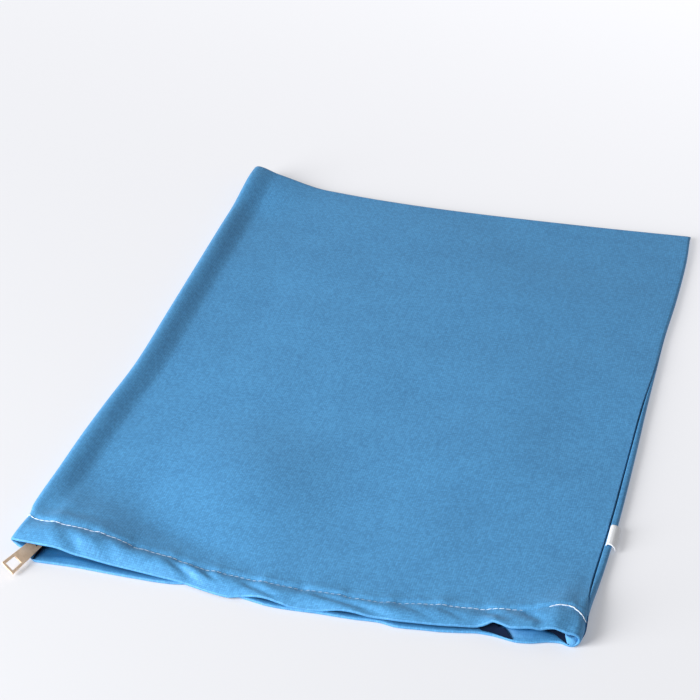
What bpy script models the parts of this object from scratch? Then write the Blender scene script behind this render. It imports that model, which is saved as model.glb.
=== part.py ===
"""A zipped cotton bread bag, empty and lying flat, its mouth to the front (-Y).

Two panels are sewn into a flat sack. The front ends in a deep hem whose two lips close over
a short metal zip, and the flat pull hangs out at the front left corner. Every section below
is worked out in millimetres from the mouth backwards, and turned to metres at the end.
The origin is the middle of the flat underside, +X is right, +Y is back and +Z is up.
"""
import math

import bmesh
import bpy
from mathutils import Matrix, Vector

MM = 0.001

BAG_LENGTH = 430.0
MOUTH_TO_ORIGIN = 215.0
HEM_DEPTH = 18.0
GAP = 0.3

CLOTH = 1.0
HEM_CLOTH = 1.1
LIP_CLOTH = 1.6
LIP_ROUNDING = 0.55
HEM_CROWN = 0.7
BODY_HEIGHT = 3.5
CLOSED_EDGE = 3.1
EDGE_ROUNDING = 3.0

ROLL_HALF_WIDTH = 4.2
ROLL_SLOPE = 17.0
ROLL_TUCK = 5.0

CORNER_LIFT = 6.5
CORNER_REACH_X = 55.0
CORNER_REACH_Y = 60.0

MOUTH_COLUMNS = ("x", "lower_y", "upper_y", "gap_top", "stitch_y", "stitch_z", "ease")
MOUTH = [
    (-150.0, 10.5, 4.8, 7.2, 25.0, 8.6, 60.0),
    (-145.0, 5.0, 3.5, 8.3, 23.0, 9.4, 60.0),
    (-138.0, 0.2, 2.6, 8.7, 21.0, 10.2, 60.0),
    (-124.0, 0.3, 2.0, 8.7, 20.0, 10.3, 52.0),
    (-112.0, 0.3, 1.8, 6.9, 19.6, 9.6, 44.0),
    (-100.0, 0.3, 1.6, 5.5, 19.3, 8.2, 36.0),
    (-88.0, 0.4, 1.5, 4.9, 19.0, 6.4, 30.0),
    (-76.0, 0.5, 1.5, 3.9, 18.2, 4.7, 24.0),
    (-60.0, 0.2, 1.0, 2.7, 16.6, 3.9, 20.0),
    (-46.0, -1.2, 0.0, 2.5, 15.2, 3.8, 18.0),
    (-26.0, -4.0, -2.2, 2.5, 14.2, 3.8, 18.0),
    (2.0, -5.2, -3.2, 2.5, 13.8, 3.8, 18.0),
    (30.0, -3.5, -1.7, 2.6, 13.2, 3.8, 18.0),
    (58.0, -4.2, -2.3, 2.6, 13.4, 3.9, 18.0),
    (76.0, -3.0, -1.4, 3.2, 15.8, 3.9, 18.0),
    (88.0, -1.0, 0.6, 4.0, 17.4, 4.0, 18.0),
    (98.0, 0.8, 2.2, 5.8, 18.2, 4.0, 18.0),
    (105.0, 0.9, 2.9, 7.9, 19.4, 4.6, 20.0),
    (114.0, 0.1, 2.1, 7.1, 20.0, 5.6, 22.0),
    (124.0, 1.6, 3.3, 7.3, 21.2, 7.4, 22.0),
    (135.0, 3.2, 4.3, 9.0, 24.2, 9.3, 22.0),
    (142.0, 3.6, 4.4, 8.2, 24.2, 8.8, 22.0),
    (149.0, 5.4, 5.0, 7.6, 24.0, 8.2, 22.0),
]

LEFT_COLUMNS = ("y", "edge_x", "roll_z")
LEFT_EDGE = [
    (0.0, -150.2, 8.6),
    (30.0, -149.6, 9.4),
    (60.0, -151.0, 9.0),
    (95.0, -150.8, 8.4),
    (130.0, -149.8, 8.0),
    (180.0, -147.4, 7.8),
    (240.0, -148.6, 7.8),
    (300.0, -149.8, 8.2),
    (370.0, -151.4, 8.6),
    (410.0, -151.6, 7.4),
    (430.0, -151.2, 5.4),
]

RIGHT_COLUMNS = ("y", "edge_x", "seam_up")
RIGHT_EDGE = [
    (0.0, 149.0, -1.0),
    (7.0, 150.0, -0.4),
    (15.0, 149.8, 0.9),
    (24.0, 149.6, 2.6),
    (34.0, 149.8, 3.9),
    (48.0, 150.4, 4.6),
    (70.0, 151.2, 4.9),
    (110.0, 151.9, 4.9),
    (170.0, 151.4, 4.5),
    (215.0, 150.6, 3.6),
    (260.0, 150.2, 1.6),
    (300.0, 150.0, 0.4),
    (345.0, 151.1, 0.2),
    (395.0, 151.0, 0.2),
    (430.0, 149.2, 0.2),
]

BACK_COLUMNS = ("x", "y")
BACK_EDGE = [
    (-150.0, 439.6),
    (-128.0, 436.8),
    (-100.0, 432.4),
    (-60.0, 428.0),
    (-15.0, 426.0),
    (35.0, 426.4),
    (95.0, 428.2),
    (150.0, 431.0),
]

SWELL_COLUMNS = ("x", "y", "height", "half_x", "half_y")
SWELLS = [
    (-62.0, 95.0, 1.0, 60.0, 80.0),
    (70.0, 150.0, 0.9, 60.0, 120.0),
    (30.0, 330.0, 0.8, 90.0, 70.0),
    (-95.0, 260.0, -0.4, 22.0, 120.0),
]

ROWS = [0, 1.5, 4, 8, 12, 15.5, 18, 21, 26, 34, 46, 62, 84, 110, 142, 180, 220, 260,
        300, 335, 365, 388, 406, 418, 427, 429, 430]
TOP_SHARES = [0.03, 0.06, 0.09, 0.12, 0.15, 0.185, 0.225, 0.27, 0.32, 0.375, 0.43, 0.485, 0.54,
              0.595, 0.645, 0.69, 0.73, 0.77, 0.81, 0.845, 0.88, 0.91, 0.94, 0.965, 0.985, 1.0]
UNDER_SHARES = [0.05, 0.12, 0.2, 0.28, 0.36, 0.44, 0.52, 0.6, 0.68, 0.74, 0.8, 0.85, 0.9, 0.95, 1.0]
RIGHT_STEPS = 7
RIGHT_CROWDING = 1.35
TOP_START = 12.0
ROLL_STEPS = 6
RISE_STEPS = 6

ZIP_LEFT, ZIP_RIGHT = -139.0, 130.0
ZIP_STATIONS = 34
TEETH_LEFT = -129.0
TEETH_FRONT, TEETH_BACK = 9.2, 11.6
TEETH_HEIGHT = 1.8
TAPE_FRONT, TAPE_BACK = 11.9, 19.0
TAPE_WALL = 0.4
TAPE_FOLD = 1.5
TAPE_SLIT = 0.1
TEETH_SIDES = 8
SLIDER_DETOUR = 3.6
SLOPE_ROOM = 0.08

PULL_TIP = (-143.6, -14.3, 4.3)
PULL_HEADING, PULL_RISE, PULL_ROLL = 17.5, 3.0, 37.0
PULL_SIZE = (8.2, 25.0, 1.1)
PULL_CORNER = 0.8
PULL_RIM_BREAK = 0.18
PULL_WINDOW = (5.2, 7.0)
PULL_WINDOW_RIM = 1.4
PULL_EYE = (3.4, 2.0)
PULL_EYE_RIM = 1.2
CUTTER_DEPTH = 4.0
SLIDER_SIZE = (8.6, 3.4, 5.8)
SLIDER_TILT = 25.0
SLIDER_BEHIND_PULL = 3.2
SLIDER_ROUNDING = 0.7
STAPLE_WIRE = 0.9
STAPLE_RADIUS = 1.55
STAPLE_STEPS = 8
STAPLE_SIDES = 6
STAPLE_OVERLAP = 0.4

LABEL_Y = (81.0, 99.5)
LABEL_THICKNESS = 0.8
LABEL_ROUTE = [(147.4, 4.3), (149.2, 4.35), (151.0, 4.2), (152.4, 3.5), (153.1, 2.4), (153.4, 1.2)]


def along(table, columns, name, place):
    """One column's value at a place along a table, on a smooth curve through its rows."""
    column = columns.index(name)
    places = [row[0] for row in table]
    values = [row[column] for row in table]
    place = min(max(place, places[0]), places[-1])
    last = len(places) - 1
    k = max(i for i in range(last) if places[i] <= place)

    def slope(i):
        low, high = max(i - 1, 0), min(i + 1, last)
        return (values[high] - values[low]) / (places[high] - places[low])

    span = places[k + 1] - places[k]
    t = (place - places[k]) / span
    start = values[k] * (1 + 2 * t) * (1 - t) ** 2 + slope(k) * span * t * (1 - t) ** 2
    end = values[k + 1] * (3 - 2 * t) * t ** 2 + slope(k + 1) * span * (t - 1) * t ** 2
    return start + end


def mouth(name, x):
    return along(MOUTH, MOUTH_COLUMNS, name, x)


def mix(low, high, share):
    return low + (high - low) * share


def ease(t):
    """0 to 1 with level ends."""
    t = min(max(t, 0.0), 1.0)
    return t * t * (3 - 2 * t)


def left_edge(y):
    return along(LEFT_EDGE, LEFT_COLUMNS, "edge_x", y)


def right_edge(y):
    return along(RIGHT_EDGE, RIGHT_COLUMNS, "edge_x", y)


def body_height(x, y):
    """The bag's height behind the hem: a low middle, swells and the raised roll at the left edge."""
    height = BODY_HEIGHT
    for row in SWELLS:
        swell = dict(zip(SWELL_COLUMNS, row))
        far = math.hypot((x - swell["x"]) / swell["half_x"], (y - swell["y"]) / swell["half_y"])
        height += swell["height"] * (1 - ease(far))
    roll = along(LEFT_EDGE, LEFT_COLUMNS, "roll_z", y)
    inboard = (x - left_edge(y) - ROLL_HALF_WIDTH) / ROLL_SLOPE
    return mix(height, roll, 1 - ease(inboard))


def height_at(x, y):
    """The height of the bag's top, y millimetres behind the mouth."""
    x = min(x, right_edge(y) - 6.0)
    lip_top = mouth("gap_top", x) + LIP_CLOTH
    stitch_top = mouth("stitch_z", x)
    if y <= HEM_DEPTH:
        t = y / HEM_DEPTH
        return mix(lip_top, stitch_top, ease(t)) + HEM_CROWN * math.sin(math.pi * t)
    fade = math.exp(-(((y - HEM_DEPTH) / mouth("ease", x)) ** 2))
    return body_height(x, y) + (stitch_top - body_height(x, HEM_DEPTH)) * fade


def true_y(x, y, level):
    """Where a place y behind the mouth really lies: lips, stitching and back edge all wander."""
    lip = mix(mouth("lower_y", x), mouth("upper_y", x), level)
    stitch = mouth("stitch_y", x)
    if y <= HEM_DEPTH:
        return mix(lip, stitch, y / HEM_DEPTH)
    back = along(BACK_EDGE, BACK_COLUMNS, "y", x)
    return mix(stitch, back, (y - HEM_DEPTH) / (BAG_LENGTH - HEM_DEPTH))


def lift(x, y):
    """How far the back left corner stands off the table."""
    across = ease((left_edge(y) + CORNER_REACH_X - x) / CORNER_REACH_X)
    along_edge = ease((y - BAG_LENGTH + CORNER_REACH_Y) / CORNER_REACH_Y)
    return CORNER_LIFT * across * along_edge


def placed(x, y, z, height):
    """A point of the skin, with the closed back edge thinned and the lifted corner added."""
    middle = height / 2
    into_edge = min(max((y - BAG_LENGTH + EDGE_ROUNDING) / EDGE_ROUNDING, 0.0), 1.0)
    closed = CLOSED_EDGE + max(height - BODY_HEIGHT, 0.0)
    thin = mix(1.0, closed / height, 1 - math.sqrt(1 - into_edge ** 2))
    return Vector((x, true_y(x, y, z / height), middle + (z - middle) * thin + lift(x, y)))


def right_end(y, up):
    """The skin at the right edge, up millimetres along it from the edge's outermost line."""
    edge = right_edge(y)
    height = height_at(edge, y)
    radius = height / 2
    quarter = radius * math.pi / 2
    if up > quarter:
        x = edge - radius - (up - quarter)
        return placed(x, y, height_at(x, y), height_at(x, y))
    angle = up / radius
    return placed(edge - radius * (1 - math.cos(angle)), y, radius * (1 + math.sin(angle)), height)


def ring(y):
    """The skin's section y behind the mouth: right seam, top, left roll, left seam, underside."""
    seam_up = along(RIGHT_EDGE, RIGHT_COLUMNS, "seam_up", y)
    edge = right_edge(y)
    radius = height_at(edge, y) / 2
    quarter = radius * math.pi / 2
    top_x = edge - radius - (TOP_START - quarter)
    ridge_x = left_edge(y) + ROLL_HALF_WIDTH
    ridge_z = height_at(ridge_x, y)
    points = []
    for k in range(RIGHT_STEPS + 1):
        points.append(right_end(y, mix(seam_up, TOP_START, (k / RIGHT_STEPS) ** RIGHT_CROWDING)))
    for share in TOP_SHARES:
        x = mix(top_x, ridge_x, share)
        z = height_at(x, y)
        points.append(placed(x, y, z, z))
    for k in range(1, ROLL_STEPS + 1):
        angle = math.pi * k / ROLL_STEPS
        x = ridge_x - ROLL_HALF_WIDTH * math.sin(angle)
        points.append(placed(x, y, ridge_z * (1 + math.cos(angle)) / 2, ridge_z))
    seam_x = ridge_x + ROLL_TUCK
    points.append(placed(seam_x, y, 0.0, height_at(seam_x, y)))
    for share in UNDER_SHARES:
        x = mix(seam_x, edge - radius, share)
        points.append(placed(x, y, 0.0, height_at(x, y)))
    for k in range(1, RISE_STEPS):
        points.append(right_end(y, mix(-quarter, seam_up, k / RISE_STEPS)))
    return points


LEFT_SEAM = RIGHT_STEPS + 1 + len(TOP_SHARES) + ROLL_STEPS


def cloth_thickness(y):
    """The lip is a soft fold, the hem is doubled cloth, and the rest is one layer."""
    if y <= HEM_DEPTH:
        return mix(LIP_CLOTH, HEM_CLOTH, ease((y - 1.5) / 5.0))
    return mix(HEM_CLOTH, CLOTH, ease((y - HEM_DEPTH) / 4.0))


def skin_and_lining():
    """The skin's rings from the mouth to the back, and the same points one cloth thickness inside."""
    rings = [ring(y) for y in ROWS]
    count = len(rings[0])
    inside = []
    for j, y in enumerate(ROWS):
        ahead, behind = rings[min(j + 1, len(ROWS) - 1)], rings[max(j - 1, 0)]
        row = []
        for i in range(count):
            around = rings[j][(i + 1) % count] - rings[j][i - 1]
            inward = around.cross(ahead[i] - behind[i]).normalized()
            row.append(rings[j][i] + inward * cloth_thickness(y))
        inside.append(row)
    return rings, inside


def at_metres(point):
    return Vector((point.x, point.y - MOUTH_TO_ORIGIN, point.z)) * MM


def material(name, color, roughness, metallic=0.0):
    made = bpy.data.materials.new(name)
    made.use_nodes = True
    shader = made.node_tree.nodes["Principled BSDF"]
    shader.inputs["Base Color"].default_value = (*color, 1.0)
    shader.inputs["Roughness"].default_value = roughness
    shader.inputs["Metallic"].default_value = metallic
    return made


def add_object(name, bm, finish, smooth=True):
    bmesh.ops.recalc_face_normals(bm, faces=bm.faces)
    mesh = bpy.data.meshes.new(name)
    bm.to_mesh(mesh)
    bm.free()
    mesh.materials.append(finish)
    if smooth:
        mesh.shade_smooth()
        mesh.set_sharp_from_angle(angle=math.radians(40))
    made = bpy.data.objects.new(name, mesh)
    bpy.context.scene.collection.objects.link(made)
    return made


def round_edges(bm, edges, radius, segments):
    bmesh.ops.bevel(bm, geom=edges, offset=radius * MM, segments=segments, profile=0.5,
                    affect="EDGES", material=-1)


def panel(name, outside, inside, finish):
    """A sheet from two matching grids of points, one on each face, with its front rim rounded as a lip."""
    rows, columns = len(outside), len(outside[0])
    bm = bmesh.new()
    bmesh.ops.create_grid(bm, x_segments=columns - 1, y_segments=rows - 1, size=0.5)
    spot = bm.verts.layers.int.new("spot")
    for vert in bm.verts:
        i = round((vert.co.x + 0.5) * (columns - 1))
        j = round((vert.co.y + 0.5) * (rows - 1))
        vert[spot] = j * columns + i
        vert.co = at_metres(outside[j][i])
    turned = bmesh.ops.extrude_face_region(bm, geom=bm.faces[:], use_keep_orig=True)
    lining = [item for item in turned["geom"] if isinstance(item, bmesh.types.BMVert)]
    for vert in lining:
        j, i = divmod(vert[spot], columns)
        vert.co = at_metres(inside[j][i])
    lining = set(lining)
    lips = [edge for edge in bm.edges
            if all(vert[spot] < columns for vert in edge.verts)
            and (edge.verts[0] in lining) == (edge.verts[1] in lining)]
    round_edges(bm, lips, LIP_ROUNDING, 2)
    return add_object(name, bm, finish)


def cloth_panels(finish):
    """The upper panel rolls under at the left, and the lower one laps up over the right edge."""
    skin, lining = skin_and_lining()
    last = len(skin[0])
    ranges = {
        "upper_panel": list(range(0, LEFT_SEAM + 1)),
        "lower_panel": list(range(LEFT_SEAM, last)) + [0],
    }
    for name, columns in ranges.items():
        outside = [[row[i].copy() for i in columns] for row in skin]
        inside = [[row[i].copy() for i in columns] for row in lining]
        first, final = columns[0], columns[-1]
        for row, out, lined in zip(skin, outside, inside):
            first_step = (row[first + 1] - row[first - 1]).normalized() * GAP / 2
            final_step = (row[final - 1] - row[final + 1]).normalized() * GAP / 2
            for side in (out, lined):
                side[0] += first_step
                side[-1] += final_step
        panel(name, outside, inside, finish)


def loft(name, sections, finish):
    """A bar through a row of like sections, closed at both ends."""
    bm = bmesh.new()
    loops = []
    for section in sections:
        verts = [bm.verts.new(at_metres(point)) for point in section]
        loops.append([bm.edges.new((verts[k - 1], verts[k])) for k in range(len(verts))])
    for near, far in zip(loops, loops[1:]):
        bmesh.ops.bridge_loops(bm, edges=near + far)
    for loop in (loops[0], loops[-1]):
        bmesh.ops.contextual_create(bm, geom=loop)
    return add_object(name, bm, finish)


def mouth_gap(x, y):
    """The lowest and highest place for a zip part between the two hems."""
    low = cloth_thickness(y) + GAP
    high = height_at(x, y) - cloth_thickness(y) - GAP - SLOPE_ROOM * (height_at(x, y) - BODY_HEIGHT)
    return low, high


def zip_tape(finish):
    """The two tapes, sewn in along the hem's stitching, meet at the teeth in a V that opens backwards."""
    sections = []
    for k in range(ZIP_STATIONS + 1):
        x = mix(ZIP_LEFT, ZIP_RIGHT, k / ZIP_STATIONS)
        front = TAPE_FRONT + SLIDER_DETOUR * ease((TEETH_LEFT + 2.0 - x) / 5.0)
        half_way = mix(front, TAPE_BACK, 0.5)
        low, high = mouth_gap(x, TAPE_BACK)
        middle = (low + high) / 2
        sections.append([
            Vector((x, true_y(x, front, 1.0), middle + TAPE_WALL)),
            Vector((x, true_y(x, half_way, 1.0), mix(middle + TAPE_WALL, high, 0.6))),
            Vector((x, true_y(x, TAPE_BACK, 1.0), high)),
            Vector((x, true_y(x, TAPE_BACK, 1.0), high - TAPE_WALL)),
            Vector((x, true_y(x, front + TAPE_FOLD, 1.0), middle + TAPE_SLIT / 2)),
            Vector((x, true_y(x, front + TAPE_FOLD, 1.0), middle - TAPE_SLIT / 2)),
            Vector((x, true_y(x, TAPE_BACK, 1.0), low + TAPE_WALL)),
            Vector((x, true_y(x, TAPE_BACK, 1.0), low)),
            Vector((x, true_y(x, half_way, 1.0), mix(middle - TAPE_WALL, low, 0.6))),
            Vector((x, true_y(x, front, 1.0), middle - TAPE_WALL)),
        ])
    loft("zip_tape", sections, finish)


def zip_teeth(finish):
    """The closed row of teeth as one rounded bar in front of the tapes."""
    centre = mix(TEETH_FRONT, TEETH_BACK, 0.5)
    half_depth = (TEETH_BACK - TEETH_FRONT) / 2
    sections = []
    for k in range(ZIP_STATIONS + 1):
        x = mix(TEETH_LEFT, ZIP_RIGHT - 1.0, k / ZIP_STATIONS)
        low, high = mouth_gap(x, TAPE_BACK)
        middle = max((low + high) / 2, mouth_gap(x, TEETH_FRONT)[0] + TEETH_HEIGHT / 2)
        half_step = math.pi / TEETH_SIDES
        section = []
        for corner in range(TEETH_SIDES):
            angle = half_step * (1 + 2 * corner)
            depth = centre + half_depth * math.cos(angle) / math.cos(half_step)
            rise = TEETH_HEIGHT / 2 * math.sin(angle) / math.cos(half_step)
            section.append(Vector((x, true_y(x, depth, 1.0), middle + rise)))
        sections.append(section)
    loft("zip_teeth", sections, finish)


def pull_frame():
    """The pull's own frame: +X across it, +Y inwards to the slider, +Z out of its upper face."""
    turn = Matrix.Rotation(math.radians(-PULL_HEADING), 4, "Z")
    turn @= Matrix.Rotation(math.radians(PULL_RISE), 4, "X")
    turn @= Matrix.Rotation(math.radians(PULL_ROLL), 4, "Y")
    return Matrix.Translation(at_metres(Vector(PULL_TIP))) @ turn


def box(bm, size, centre):
    """A box in millimetres, added to a bmesh in metres."""
    made = bmesh.ops.create_cube(bm, size=1.0)["verts"]
    bmesh.ops.scale(bm, vec=Vector(size) * MM, verts=made)
    bmesh.ops.translate(bm, vec=Vector(centre) * MM, verts=made)
    return made


def guide(name, bm, frame):
    """A shape that only cuts or joins: it isn't a piece of the bag."""
    mesh = bpy.data.meshes.new(name)
    bm.to_mesh(mesh)
    bm.free()
    made = bpy.data.objects.new(name, mesh)
    bpy.context.scene.collection.objects.link(made)
    made.matrix_world = frame
    made.hide_render = True
    made.display_type = "WIRE"
    return made


def box_guide(name, size, centre, frame):
    bm = bmesh.new()
    box(bm, size, centre)
    return guide(name, bm, frame)


def add_boolean(target, tool, operation):
    cut = target.modifiers.new(tool.name, "BOOLEAN")
    cut.operation = operation
    cut.object = tool


def zip_pull(finish):
    """A flat stamped plate with a square window at its free end and a small eye at the slider."""
    length, thickness = PULL_SIZE[1:]
    bm = bmesh.new()
    box(bm, PULL_SIZE, (0, length / 2, 0))
    upright = [edge for edge in bm.edges
               if abs(edge.verts[0].co.z - edge.verts[1].co.z) > thickness * MM / 2]
    round_edges(bm, upright, PULL_CORNER, 3)
    flat_rims = [edge for edge in bm.edges if edge.calc_face_angle(0) > math.radians(60)]
    round_edges(bm, flat_rims, PULL_RIM_BREAK, 1)
    pull = add_object("zip_pull", bm, finish)
    pull.matrix_world = pull_frame()
    window_y = PULL_WINDOW_RIM + PULL_WINDOW[1] / 2
    eye_y = length - PULL_EYE_RIM - PULL_EYE[1] / 2
    for name, hole, y in (("window_cutter", PULL_WINDOW, window_y), ("eye_cutter", PULL_EYE, eye_y)):
        cutter = box_guide(name, (*hole, CUTTER_DEPTH), (0, y, 0), pull_frame())
        add_boolean(pull, cutter, "DIFFERENCE")


def staple(frame):
    """The bent wire that holds the pull to the slider: through the eye and back on both faces."""
    bar_y = PULL_SIZE[1] - PULL_EYE_RIM / 2
    leg_end = bar_y + SLIDER_BEHIND_PULL + STAPLE_OVERLAP
    route = [(leg_end, STAPLE_RADIUS, 90.0)]
    for k in range(STAPLE_STEPS + 1):
        angle = 90.0 + 180.0 * k / STAPLE_STEPS
        y = bar_y + STAPLE_RADIUS * math.cos(math.radians(angle))
        route.append((y, STAPLE_RADIUS * math.sin(math.radians(angle)), angle))
    route.append((leg_end, -STAPLE_RADIUS, 270.0))
    bm = bmesh.new()
    loops = []
    for y, z, angle in route:
        out = Vector((0, math.cos(math.radians(angle)), math.sin(math.radians(angle))))
        verts = []
        for k in range(STAPLE_SIDES):
            round_wire = 2 * math.pi * k / STAPLE_SIDES
            side = Vector((math.sin(round_wire), 0, 0)) + out * math.cos(round_wire)
            verts.append(bm.verts.new((Vector((0, y, z)) + side * STAPLE_WIRE / 2) * MM))
        loops.append([bm.edges.new((verts[k - 1], verts[k])) for k in range(STAPLE_SIDES)])
    for near, far in zip(loops, loops[1:]):
        bmesh.ops.bridge_loops(bm, edges=near + far)
    for loop in (loops[0], loops[-1]):
        bmesh.ops.contextual_create(bm, geom=loop)
    bmesh.ops.recalc_face_normals(bm, faces=bm.faces)
    return guide("staple_guide", bm, frame)


def zip_slider(finish):
    """The slider's body at the closed end of the teeth, turned up a little as the pull is."""
    behind = pull_frame() @ Vector((0, (PULL_SIZE[1] + SLIDER_BEHIND_PULL) * MM, 0))
    bm = bmesh.new()
    box(bm, SLIDER_SIZE, (0, 0, 0))
    round_edges(bm, bm.edges[:], SLIDER_ROUNDING, 2)
    slider = add_object("zip_slider", bm, finish)
    slider.matrix_world = Matrix.Translation(behind) @ Matrix.Rotation(math.radians(-SLIDER_TILT), 4, "X")
    add_boolean(slider, staple(pull_frame()), "UNION")


def side_label(finish):
    """A bare woven label, caught in the right seam and bent down over the edge."""
    bm = bmesh.new()
    front, back = LABEL_Y
    verts = [bm.verts.new(at_metres(Vector((x, front, z)))) for x, z in LABEL_ROUTE]
    edges = [bm.edges.new(pair) for pair in zip(verts, verts[1:])]
    swept = bmesh.ops.extrude_edge_only(bm, edges=edges)["geom"]
    moved = [item for item in swept if isinstance(item, bmesh.types.BMVert)]
    bmesh.ops.translate(bm, vec=Vector((0, back - front, 0)) * MM, verts=moved)
    label = add_object("side_label", bm, finish, smooth=False)
    wall = label.modifiers.new("thickness", "SOLIDIFY")
    wall.thickness = LABEL_THICKNESS * MM
    wall.offset = 1.0
    wall.use_even_offset = True


def main():
    for old in list(bpy.data.objects):
        bpy.data.objects.remove(old)
    blue_cotton = material("blue_cotton", (0.07, 0.27, 0.53), 0.85)
    navy_tape = material("navy_zip_tape", (0.01, 0.02, 0.05), 0.85)
    nickel = material("nickel_plated_zinc", (0.60, 0.55, 0.47), 0.35, 1.0)
    white_tape = material("white_label_tape", (0.85, 0.86, 0.88), 0.8)
    cloth_panels(blue_cotton)
    zip_tape(navy_tape)
    zip_teeth(nickel)
    zip_slider(nickel)
    zip_pull(nickel)
    side_label(white_tape)


main()
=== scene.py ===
"""How a zipped cotton bread bag looks: empty and lying flat, its hemmed mouth to the front.

Two panels of plain-woven blue canvas are sewn into a flat sack. A deep topstitched hem closes
over a short metal zip at the mouth, and the zip's flat pull hangs out at the front left corner.
Shapes are worked out in millimetres behind the mouth, and turned to metres in each mesh.
"""
import math

import bmesh
import bpy
import numpy as np
from mathutils import Matrix, Vector, noise


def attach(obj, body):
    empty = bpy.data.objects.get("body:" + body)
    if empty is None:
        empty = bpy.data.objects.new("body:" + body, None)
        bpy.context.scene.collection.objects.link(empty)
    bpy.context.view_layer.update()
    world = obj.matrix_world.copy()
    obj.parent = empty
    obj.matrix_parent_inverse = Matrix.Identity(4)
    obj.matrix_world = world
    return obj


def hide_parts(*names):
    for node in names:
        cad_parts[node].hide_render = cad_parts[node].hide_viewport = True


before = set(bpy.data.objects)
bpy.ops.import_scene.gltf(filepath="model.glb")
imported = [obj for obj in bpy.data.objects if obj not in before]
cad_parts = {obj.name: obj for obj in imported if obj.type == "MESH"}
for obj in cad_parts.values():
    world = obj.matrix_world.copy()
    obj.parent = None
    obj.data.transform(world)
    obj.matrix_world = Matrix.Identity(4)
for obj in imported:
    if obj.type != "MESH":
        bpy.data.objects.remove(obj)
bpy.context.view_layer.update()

# The upper panel: one sheet of plain-woven mid-blue cotton canvas, about 0.5 mm thick. Its
# front is folded in as a hem 18 mm deep, its left side rolls under the bag, and its other
# sides are sewn to the lower panel from within, so every edge ends turned into a seam.
MM = 0.001
BAG_LENGTH = 430.0
MOUTH_TO_ORIGIN = 215.0
HEM_DEPTH = 18.0
LIP_FOLD = 1.6
HEM_LAYERS = 1.1
BODY_HEIGHT = 3.5
BACK_ROUNDING = 3.0
ROLL_HALF_WIDTH = 4.2
ROLL_SLOPE = 14.0
ROLL_TUCK = 5.0
TOP_START = 12.0  # how far round the right edge its own grid ends and the top's begins
CURL_LIFT = 3.3
CURL_REACH = 30.0
CURL_SWEEP = 0.18
SEAM_GAP = 1.6  # the groove of the right seam; the mouth's corner draws it shut
SEAM_GAP_AT_MOUTH = 0.15
SEAM_GAP_FROM, SEAM_GAP_OVER = 18.0, 14.0
STITCH_RISE_AT_SEAM = 7.0
CORNER_LIFT = 6.5
CORNER_REACH = (55.0, 60.0)

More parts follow.
